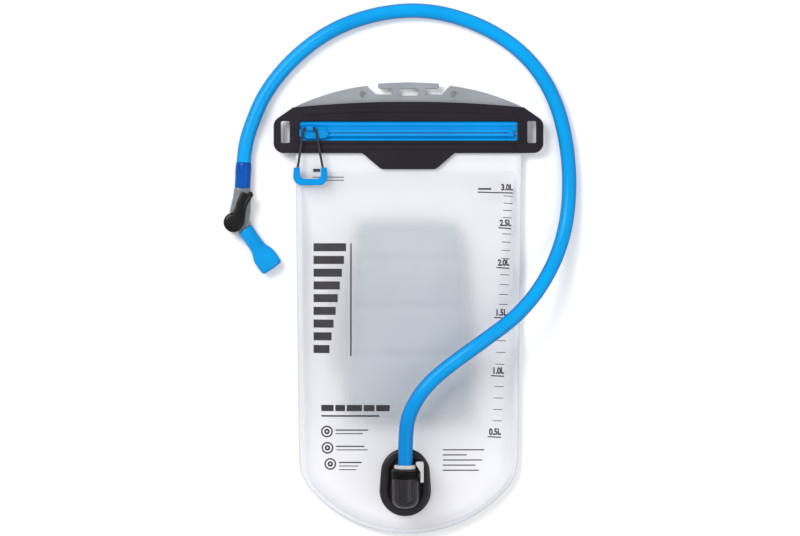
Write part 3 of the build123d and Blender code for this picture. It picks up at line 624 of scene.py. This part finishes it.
# zip: each side is one strip and one rail, closed profiles of (distance from the closing line, height)
zipper = {
    "line": 162.2, "half": 103.4, "lip": 0.35, "rail": (-99.0, 92.0),
    "stripProfile": [
        (0.35, 8.56), (15.3, 8.56), (15.3, 8.95), (12.6, 9.1), (11.2, 9.6), (10.3, 10.5), (9.0, 11.0),
        (7.6, 10.8), (6.5, 10.0), (5.7, 9.4), (4.6, 9.3), (0.35, 9.3),
    ],
    "railProfile": [
        (0.35, 9.3), (1.55, 9.3), (1.6, 11.2), (3.0, 11.35), (3.2, 11.7), (3.1, 12.2), (2.6, 12.65),
        (1.8, 12.8), (1.0, 12.7), (0.5, 12.35), (0.35, 11.9),
    ],
    "sides": [  # name, direction, how far the strip reaches, CAD tape and track
        ("zipUpper", 1, 1.0, "upper_tape", "upper_track"),
        ("zipLower", -1, 0.735, "lower_tape", "lower_track"),
    ],
}


# carries a closed profile along X, above or below the closing line
def carryProfile(name, profile, start, end, direction, steps=60):
    p = np.array(profile)
    x = np.linspace(start, end, steps)[:, None] + 0 * p[None, :, 0]
    y = zipper["line"] + direction * p[None, :, 0] + 0 * x
    mesh = gridMesh(name, np.stack([x, y, p[None, :, 1] + 0 * x], axis=-1), True, True, direction > 0)
    mesh.set_sharp_from_angle(angle=0.7)
    return mesh


for name, direction, reach, tape, track in zipper["sides"]:
    lip = zipper["lip"]
    profile = [(lip + (d - lip) * reach, z) for d, z in zipper["stripProfile"]]
    strip = carryProfile(name + "Strip", profile, -zipper["half"], zipper["half"], direction)
    rail = carryProfile(name + "Rail", zipper["railProfile"], *zipper["rail"], direction)
    addPiece(name + "Tape", strip, tapeBlue, "bag", "blue_tape", tape)
    addPiece(name + "Rail", rail, tapeBlue, "bag", "blue_tape", track)
print("zip laid")

# slider: a raised oval ring on top
slider = {"x": -84.2, "y": 162.2, "top": 14.95, "halfX": 9.4, "halfY": 4.3, "ring": (0.75, 0.7)}
angle = fullTurn(72)
oval = np.c_[slider["x"] + slider["halfX"] * np.cos(angle), slider["y"] + slider["halfY"] * np.sin(angle),
             np.full(72, slider["top"])]
ringMesh = loopMesh("sliderRing", oval[::-1], *slider["ring"])
addPiece("sliderRing", ringMesh, acetalBlue, "slider", "blue_plastic")

# nylon, moulded: near black and satin, its curves picked out by soft highlights
blackSatin = makeGrained(
    "mouldedNylonBlack", ("#161318", "#1E1B20"), 12, 0.6, 0.05, (0.3, 0.42),
    IOR=1.53, Specular_IOR_Level=0.25)
# acetal, moulded: pale warm grey, smooth, against the black socket
paleSatin = makeGrained("mouldedAcetalPale", ("#A9ABA8", "#B6B8B5"), 12, 0.6, 0.03, (0.3, 0.42), IOR=1.48)
# ABS, moulded: mid grey with a fine even texture
valveGrey = makeGrained(
    "mouldedAbsGrey", ("#5E6468", "#74797D"), 10, 0.6, 0.04, (0.3, 0.42), IOR=1.53, Specular_IOR_Level=0.3)
# silicone, moulded: soft bright blue under a thin slick skin
siliconeBlue = makeGrained(
    "mouldedSiliconeBlue", ("#007EC0", "#008CCE"), 20, 0.8, 0.04, (0.3, 0.4),
    IOR=1.43, Specular_IOR_Level=0.06, Coat_Weight=0.2, Coat_Roughness=0.14)
# TPU stretched over the barb: a deep navy blue band between the hose and the grey valve
cuffBlue = makeGrained(
    "stretchedTpuBlue", ("#004292", "#004C9E"), 20, 0.8, 0.04, (0.3, 0.4),
    IOR=1.5, Specular_IOR_Level=0.05, Coat_Weight=0.12, Coat_Roughness=0.16)
# nylon, braided: a dull black cord with a fine rough surface
cordBlack = makeGrained("braidedNylonBlack", ("#141216", "#1E1B20"), 4, 0.5, 0.1, (0.6, 0.75), IOR=1.53)
# nitrile rubber, moulded: flat black rings that take the shine off the plug
sealBlack = makeGrained("mouldedNitrileBlack", ("#101012", "#18181A"), 6, 0.5, 0.02, (0.5, 0.6), IOR=1.52)
# steel, drawn to wire: bright grey with a fine satin
steelWire = makeGrained("drawnSteel", ("#B8B8BC", "#C6C6CA"), 6, 0.3, 0.01, (0.25, 0.35), Metallic=1.0)
# painted shadow: a near-black line that stands for the shadow in the socket's slot and sets the lip off from
# the dome
slotShadowBlack = makeGrained(
    "paintedSlotShadow", ("#040405", "#08080A"), 8, 0.6, 0.02, (0.4, 0.5), IOR=1.53, Specular_IOR_Level=0.08)
# nylon, polished: nearly black with a wet sheen
blackGloss = makeGrained(
    "polishedNylonBlack", ("#0B0A0B", "#111011"), 8, 0.6, 0.03, (0.3, 0.4),
    IOR=1.53, Specular_IOR_Level=0.12, Coat_Weight=0.08, Coat_Roughness=0.14)
# silicone in shadow, where the bite slit is cut: a thin dark blue line
slitDark = makeGrained("cutSiliconeShadow", ("#002A50", "#00345E"), 5, 0.5, 0.02, (0.5, 0.6), IOR=1.43)

# CAD nodes that keep their shape
finishes = {
    "zip_frame": frameBlack, "hanger": hangerGrey,
    "left_stop": acetalBlue, "right_stop": acetalBlue, "slider_body": acetalBlue, "pull_grip": acetalBlue,
    "port_socket": blackSatin, "valve_rotor": blackSatin, "rotor_retainer": blackSatin,
    "release_clip": paleSatin, "hose_connector": paleSatin, "poppet": paleSatin,
    "pull_cord": cordBlack, "connector_orings": sealBlack, "rotor_orings": sealBlack,
    "poppet_seal": sealBlack, "clip_pin": steelWire, "poppet_spring": steelWire,
}
for node, mat in finishes.items():
    nodes[node].data.materials[0] = mat

# port base: an egg of two circles, moulded with a broad rim and a shallow recess inside it
port = {
    "x": -3.0, "z": 48.0,
    "low": (-3.0, -166.9, 23.7), "high": (-3.0, -150.7, 22.5),  # centre and radius of each circle
    "steps": [  # inset from the edge, height
        (1.2, 34.02), (0.2, 34.1), (0.0, 34.9), (0.25, 35.9), (0.9, 36.8), (1.9, 37.25), (3.2, 37.3),
        (6.6, 37.3), (7.6, 37.1), (8.3, 36.5), (8.9, 36.0), (10.0, 35.8), (14.0, 35.8), (17.0, 35.8),
        (19.6, 35.8),
    ],
}


# outline of the egg drawn in by a distance: the farther of the two circles along each direction
def eggRing(inset, height, count=120):
    angle = fullTurn(count)
    n = np.stack([np.cos(angle), np.sin(angle)], axis=1)
    low, high = np.array(port["low"]), np.array(port["high"])
    reach = np.stack([n @ low[:2] + low[2], n @ high[:2] + high[2]], axis=1)
    pick = reach.argmax(axis=1)[:, None]
    centre = np.where(pick == 0, low[:2], high[:2])
    radius = np.where(pick == 0, low[2], high[2]) - inset
    return np.c_[centre + n * radius, np.full(count, height)]


baseMesh = gridMesh("portBase", np.stack([eggRing(*step) for step in port["steps"]]), wrap=True, caps=True)
addPiece("portBase", baseMesh, blackSatin, "bag", "black_plastic", "port_base")

# socket: a raised arch over its dome, and a lip round its mouth
socket = {
    "archHalf": 6.6, "archStart": -157.0, "archTurn": -170.5, "archBow": 5.0, "archSize": (1.15, 1.1),
    "domeStart": -173.0, "radius": 12.5,
    "lipY": -147.4, "lipRadius": 11.6, "lipSize": (0.9, 1.0), "lipSpan": (-30, 210),
    "bandSpan": (-28, 208), "bandWall": 0.3,
    "bandSteps": [  # place along the socket, radius
        (-148.0, 12.4), (-148.2, 12.62), (-149.0, 12.68), (-153.6, 12.68), (-154.6, 12.62), (-154.8, 12.4),
    ],
}


# arch: up one side, half a turn over the dome and down the other, lying on the socket's round
def archPath(count=70):
    t = np.linspace(0, 1, count)
    turn = np.clip((t - 0.33) / 0.34, 0, 1) * np.pi
    x = port["x"] - socket["archHalf"] * np.cos(turn)
    legs = [socket["archStart"], socket["archTurn"], socket["archTurn"], socket["archStart"]]
    y = np.interp(t, [0, 0.33, 0.67, 1], legs) - socket["archBow"] * np.sin(turn)
    z = port["z"] + np.sqrt(socket["radius"] ** 2 - (x - port["x"]) ** 2)
    z -= 1.35 * np.clip((socket["domeStart"] - y) / 2.6, 0, 1) ** 2
    return np.stack([x, y, z], axis=1)


angle = np.radians(np.linspace(*socket["lipSpan"], 60))
lipPath = np.stack([port["x"] + socket["lipRadius"] * np.cos(angle), np.full(60, socket["lipY"]),
                    port["z"] + socket["lipRadius"] * np.sin(angle)], axis=1)
ridges = [
    tubeMesh("arch", archPath(), *socket["archSize"], 2, 14),
    tubeMesh("lip", lipPath, *socket["lipSize"], 2, 12, up=(0, 1, 0.01)),
]
addPiece("socketRidges", joinMeshes("socketRidges", ridges), blackSatin, "bag", "black_plastic")
print("port moulded")

# socket band: a near-black sheet behind the lip, a painted shadow for the socket's slot, laid part of a turn
# round its (place, radius) steps
angle = np.radians(np.linspace(*socket["bandSpan"], 60))[None, :]
bandY, bandRadius = np.array(socket["bandSteps"]).T[..., None]
band = np.stack([port["x"] + bandRadius * np.cos(angle), bandY + 0 * angle,
                 port["z"] + bandRadius * np.sin(angle)], axis=-1)
bandMesh = gridMesh("slotShadowBand", band, flip=True)
slotShadowBand = addPiece("slotShadowBand", bandMesh, slotShadowBlack, "bag", "black_plastic")
closeSheet(slotShadowBand, socket["bandWall"])

# clip cover: a flat moulded hook over the clip, with two feet down to it
clip = {
    "outline": [
        (6.9, -139.9), (9.6, -138.9), (12.6, -139.2), (13.7, -141.2), (13.7, -157.2), (13.0, -158.1),
        (11.2, -158.1), (10.7, -157.2), (10.7, -148.6), (9.0, -145.6), (6.9, -142.4),
    ],
    "plate": (54.25, 55.5), "foot": (51.9, 54.5), "footSides": (10.75, 13.45),
    "feet": [("footLow", -157.4, -154.6), ("footHigh", -148.2, -140.6)], "bevel": 0.35,
}


# flat-sided solid of an outline between two heights
def extrudeOutline(name, outline, low, high):
    p = np.array(outline)
    rings = np.stack([np.c_[p, np.full(len(p), low)], np.c_[p, np.full(len(p), high)]])
    return gridMesh(name, rings[:, ::-1], True, True, True, False)


left, right = clip["footSides"]
clipParts = [extrudeOutline("plate", clip["outline"], *clip["plate"])]
for name, low, high in clip["feet"]:
    corners = [(left, low), (right, low), (right, high), (left, high)]
    clipParts.append(extrudeOutline(name, corners, *clip["foot"]))
clipCover = addPiece("clipCover", joinMeshes("clipCover", clipParts), paleSatin, "clip", "pale_plastic")
clipBevel = clipCover.modifiers.new("edge", "BEVEL")
clipBevel.width = clip["bevel"] * mm
clipBevel.segments = 3
clipCover.data.set_sharp_from_angle(angle=0.5)

# cuff: the hose's end stretched over the barb, swelling a little where it starts
cuff = {
    "start": (-152.9, 135.2, 7.6), "end": (-154.1, 110.9, 7.6),
    "wide": [(0, 6.75), (0.05, 7.0), (0.12, 7.3), (0.3, 7.45), (0.5, 7.25), (0.96, 7.3), (1, 7.0)],
}
cuffPath = np.linspace(cuff["start"], cuff["end"], 40)
cuffWide = sizeAlong(cuff["wide"], 40)
cuffMesh = tubeMesh("cuffSleeve", cuffPath, cuffWide, cuffWide, 2, 44)
cuffSleeve = addPiece("cuffSleeve", cuffMesh, cuffBlue, "hose_end", "dark_blue_cuff", "hose_cuff")

# on/off valve housing: a rounded body from the cuff to the bite valve, and the round rotor chamber
valve = {
    "pivot": (-162.0, 79.4), "low": 0.7,
    "route": [
        (-154.0, 111.4, 7.6), (-154.4, 103, 7.6), (-155.6, 94, 7.6), (-156.4, 86, 7.6),
        (-155.2, 79.5, 7.6), (-152.1, 73.8, 7.6),
    ],
    "wide": [(0, 7.2), (0.04, 7.9), (0.3, 8.6), (0.55, 9.6), (0.75, 9.0), (0.96, 7.6), (1, 7.0)],
    "high": [(0, 6.4), (0.04, 6.9), (0.9, 6.9), (1, 6.6)],
    "chamber": [  # radius, height above its floor
        (0.01, 0.0), (7.6, 0.0), (8.7, 0.35), (9.2, 1.2), (9.2, 12.5), (8.7, 13.35), (7.6, 13.75),
        (0.01, 13.75),
    ],
}
bodyWide = sizeAlong(valve["wide"], 60)
bodyHigh = sizeAlong(valve["high"], 60)
housing = [
    tubeMesh("body", smoothPath(valve["route"], 60), bodyWide, bodyHigh, 2.9, 48),
    turnedMesh("chamber", valve["pivot"], valve["chamber"], valve["low"]),
]
bodyMesh = joinMeshes("valveBody", housing)
valveBody = addPiece("valveBody", bodyMesh, valveGrey, "hose_end", "grey_plastic", "valve_housing")

# lever: a domed disc over the pivot, an arm that rises to a knob, and a raised edge along the arm
lever = {
    "disc": [  # radius, height
        (0.01, 15.25), (8.2, 15.25), (8.9, 15.6), (9.1, 16.3), (8.9, 17.3), (8.2, 18.0), (6.0, 18.4),
        (3.0, 18.55), (0.01, 18.6),
    ],
    "arm": [
        (-162.6, 79.0, 16.7), (-158.8, 84.5, 16.7), (-156.2, 90.5, 16.7), (-154.0, 96.5, 16.7),
        (-151.2, 102.0, 16.7), (-149.4, 106.0, 16.7),
    ],
    "armWide": [(0, 7.2), (0.25, 5.6), (0.5, 4.9), (0.75, 5.3), (0.92, 5.6), (1, 4.6)],
    "armHigh": [(0, 1.35), (0.93, 1.35), (1, 0.9)],
    "edge": [
        (-156.6, 73.6, 17.6), (-153.6, 78.0, 17.9), (-152.4, 84.0, 18.0), (-151.9, 90.0, 18.0),
        (-150.4, 96.0, 18.0), (-147.6, 101.2, 17.9), (-145.4, 104.4, 17.4),
    ],
    "edgeWide": [(0, 0.4), (0.08, 1.1), (0.3, 1.5), (0.8, 1.7), (1, 1.6)],
    "knob": (-146.0, 104.9, 17.0), "knobHalf": (2.4, 2.9, 1.75),
}
armSize = sizeAlong(lever["armWide"], 50), sizeAlong(lever["armHigh"], 50)
edgeWide = sizeAlong(lever["edgeWide"], 70)
knobX, knobY, knobZ = np.diag(lever["knobHalf"])
paddle = [
    turnedMesh("disc", valve["pivot"], lever["disc"]),
    tubeMesh("arm", smoothPath(lever["arm"], 50), *armSize, 3.0, 40),
    tubeMesh("edge", smoothPath(lever["edge"], 70), edgeWide, edgeWide * 0.55, 2, 18),
    gridMesh("knob", ellipsoid(lever["knob"], -knobZ, knobX, knobY, 14, 28, 0.02), wrap=True, caps=True),
]
leverMesh = joinMeshes("leverPaddle", paddle)
leverPaddle = addPiece("leverPaddle", leverMesh, blackGloss, "lever", "black_plastic", "valve_lever")

# bite valve and its spout: steps of (distance along, half width, half height, squareness)
bite = {
    "start": (-151.9, 73.5, 7.6), "way": (0.575, -0.818, 0.0),
    "skin": [  # starts down the bore, then a round stem that swells to a flattened mouth
        (12.2, 4.6, 4.6, 2), (6.0, 4.65, 4.65, 2), (0.4, 4.7, 4.7, 2), (0.0, 5.0, 5.0, 2), (0.0, 6.4, 6.3, 2),
        (0.4, 7.0, 6.9, 2), (1.6, 7.4, 7.1, 2), (6.0, 7.3, 7.1, 2), (10.0, 7.2, 7.1, 2), (14.0, 7.2, 7.1, 2),
        (18.0, 7.2, 7.1, 2), (21.0, 7.4, 7.1, 2.05), (23.0, 7.9, 7.0, 2.1), (24.5, 8.5, 6.95, 2.2),
        (26.0, 9.15, 6.85, 2.3), (27.5, 9.8, 6.75, 2.4), (29.0, 10.3, 6.6, 2.5), (30.5, 10.65, 6.55, 2.5),
        (32.0, 10.85, 6.5, 2.5), (36.0, 10.9, 6.4, 2.5), (41.0, 10.8, 6.35, 2.5), (43.2, 10.5, 6.1, 2.5),
        (44.2, 9.9, 5.6, 2.5), (44.75, 9.0, 4.8, 2.5), (45.0, 7.8, 3.7, 2.5), (45.05, 4.0, 1.6, 2.2),
        (45.06, 0.1, 0.05, 2),
    ],
    "slitAt": 45.02, "slitHalf": (6.0, 0.12, 0.35),
    "spout": [  # barbs that the bite valve is pushed onto, then back down the bore
        (-3.0, 4.4, 4.4, 2), (3.2, 4.4, 4.4, 2), (3.4, 4.5, 4.5, 2), (6.4, 4.1, 4.1, 2), (6.6, 4.5, 4.5, 2),
        (9.6, 4.1, 4.1, 2), (9.8, 4.45, 4.45, 2), (11.7, 3.7, 3.7, 2), (12.0, 3.4, 3.4, 2),
        (12.0, 3.0, 3.0, 2), (4.0, 3.0, 3.0, 2),
    ],
}
way = np.array(bite["way"]) / np.linalg.norm(bite["way"])
across = np.array([-way[1], way[0], 0.0])
upward = np.array([0, 0, 1.0])


# superellipse rings about the bite valve's axis
def axisMesh(name, steps, count):
    along, wide, high, squareness = np.array(steps).T[..., None]
    c, s = squareRound(squareness, count)
    rings = (np.array(bite["start"]) + along[..., None] * way + (wide * c)[..., None] * across
             + (high * s)[..., None] * upward)
    return gridMesh(name, rings, wrap=True, caps=True)


biteMesh = axisMesh("biteValve", bite["skin"], 56)
biteValve = addPiece("biteValve", biteMesh, siliconeBlue, "bite", "blue_silicone", "bite_valve")
slitCentre = np.array(bite["start"]) + way * bite["slitAt"]
slitAcross, slitAlong, slitUp = np.array(bite["slitHalf"])[:, None] * np.stack([across, way, upward])
slit = ellipsoid(slitCentre, slitAcross, slitAlong, slitUp, 12, 20, 0.05)
slitMesh = gridMesh("biteSlit", slit, wrap=True, caps=True, flip=True)
biteSlit = addPiece("biteSlit", slitMesh, slitDark, "bite", "blue_silicone")
spoutMesh = axisMesh("valveSpout", bite["spout"], 40)
valveSpout = addPiece("valveSpout", spoutMesh, valveGrey, "hose_end", "grey_plastic")
print("valve and bite valve made")

# paper floor, matt: an even white that takes only soft shadows
floorWhite, _, shader = startMaterial("matPaperWhite", Roughness=0.9)
shader.inputs["Base Color"].default_value = hexColour("#F4F4F4")
floorMesh = bpy.data.meshes.new("floor")
floorMesh.from_pydata([(-6, -6, 0), (6, -6, 0), (6, 6, 0), (-6, 6, 0)], [], [(0, 1, 2, 3)])
floorMesh.materials.append(floorWhite)
floor = bpy.data.objects.new("floor", floorMesh)
bpy.context.collection.objects.link(floor)

# camera: straight above the bag
view = {"x": -7.9, "y": 37.2, "height": 2400.0, "span": 744.8, "sensor": 36.0}
camData = bpy.data.cameras.new("camera")
camData.sensor_width = view["sensor"]
camData.lens = view["sensor"] * view["height"] / view["span"]
camData.clip_end = 20.0
cam = bpy.data.objects.new("camera", camData)
cam.location = (view["x"] * mm, view["y"] * mm, view["height"] * mm)
bpy.context.collection.objects.link(cam)
bpy.context.scene.camera = cam

# light: an even white surround and two softboxes
world = bpy.data.worlds.new("studio")
world.use_nodes = True
world.node_tree.nodes["Background"].inputs["Color"].default_value = (1, 1, 1, 1)
world.node_tree.nodes["Background"].inputs["Strength"].default_value = 0.75
bpy.context.scene.world = world
bpy.context.scene.view_settings.view_transform = "Standard"
softboxes = [  # name, place, size, power
    ("keySoftbox", (-0.9, 0.9, 1.5), 0.9, 26.0),
    ("fillSoftbox", (1.2, -0.4, 1.6), 1.4, 12.0),
]
for name, place, size, power in softboxes:
    data = bpy.data.lights.new(name, "AREA")
    data.size = size
    data.energy = power
    lamp = bpy.data.objects.new(name, data)
    lamp.location = place
    lamp.rotation_euler = (-Vector(place)).to_track_quat("-Z", "Y").to_euler()
    bpy.context.collection.objects.link(lamp)
